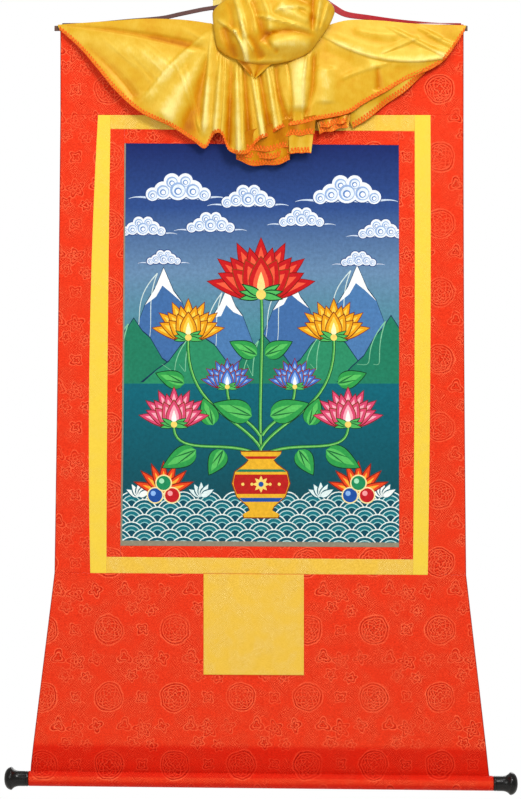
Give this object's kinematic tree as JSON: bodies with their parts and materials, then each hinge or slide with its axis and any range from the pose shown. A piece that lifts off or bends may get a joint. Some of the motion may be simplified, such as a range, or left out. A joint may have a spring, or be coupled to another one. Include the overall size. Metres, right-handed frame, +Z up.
{
  "type": "thangka hanging scroll with roller rod and hanging strap",
  "caption": "Long brocade-mounted scroll picture with a framed painted panel, a flared skirt on a knobbed roller, and a satin veil gathered up at the top strap.",
  "frame": {"origin": "top of the hanging strap, where a nail or hook holds it, on the scroll's middle line", "axes": "+Z up along the scroll's length, +X to the right seen from the front, front face towards -Y"},
  "size_m": [0.7856, 0.0646, 1.2743],
  "materials": {
    "red_brocade": "woven tone-on-tone silk brocade, soft sheen",
    "yellow_brocade": "woven tone-on-tone silk brocade, soft sheen",
    "yellow_satin": "thin glossy satin",
    "painted_cloth": "painted cotton canvas",
    "red_ribbon": "flat woven ribbon",
    "wood": "planed and stained",
    "black_lacquer": "turned and lacquered black"
  },
  "bodies": {
    "root": {"heading": "red_brocade", "side_left": "red_brocade", "side_right": "red_brocade", "skirt": "red_brocade", "border_left": "red_brocade", "border_right": "red_brocade", "border_top": "red_brocade", "border_bottom": "red_brocade", "frame_left": "yellow_brocade", "frame_right": "yellow_brocade", "frame_top": "yellow_brocade", "frame_bottom": "yellow_brocade", "door_patch": "yellow_brocade", "picture": "painted_cloth", "veil": "yellow_satin", "hanging_strap": "red_ribbon", "top_stave": "wood", "roller_rod": "wood", "knob_left": "black_lacquer", "knob_right": "black_lacquer"}
  },
  "joints": []
}
